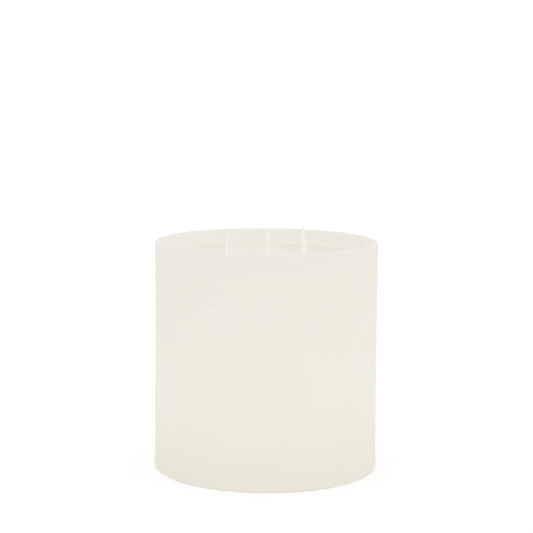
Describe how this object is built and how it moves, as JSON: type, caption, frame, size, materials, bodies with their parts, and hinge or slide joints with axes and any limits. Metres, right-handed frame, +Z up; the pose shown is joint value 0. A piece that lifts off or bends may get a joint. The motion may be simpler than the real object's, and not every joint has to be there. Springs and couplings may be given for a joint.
{
  "type": "pillar candle",
  "caption": "Squat ivory pillar candle with a raised rounded rim, a shallow well in the top and several cotton wicks, which stands on its own foot and gives light.",
  "frame": {"origin": "centre of the foot, on the plane that the candle stands on", "axes": "+Z up along the candle's axis; -Y towards the viewer, on the side of the front wick; +X to the viewer's right"},
  "size_m": [0.151, 0.151, 0.1634],
  "materials": {
    "shell_wax": "hard ivory wax, softly translucent, with faint streaks around the side and pale flecks",
    "fill_wax": "softer ivory wax, smooth where it set level",
    "wick_cotton": "braided cotton primed with wax",
    "clip_tinplate": "bright pressed tinplate"
  },
  "bodies": {
    "root": {"outer_shell": "shell_wax", "wax_fill": "fill_wax", "wick_front": "wick_cotton", "wick_right": "wick_cotton", "wick_left": "wick_cotton", "wick_clip_front": "clip_tinplate", "wick_clip_right": "clip_tinplate", "wick_clip_left": "clip_tinplate"}
  },
  "joints": []
}
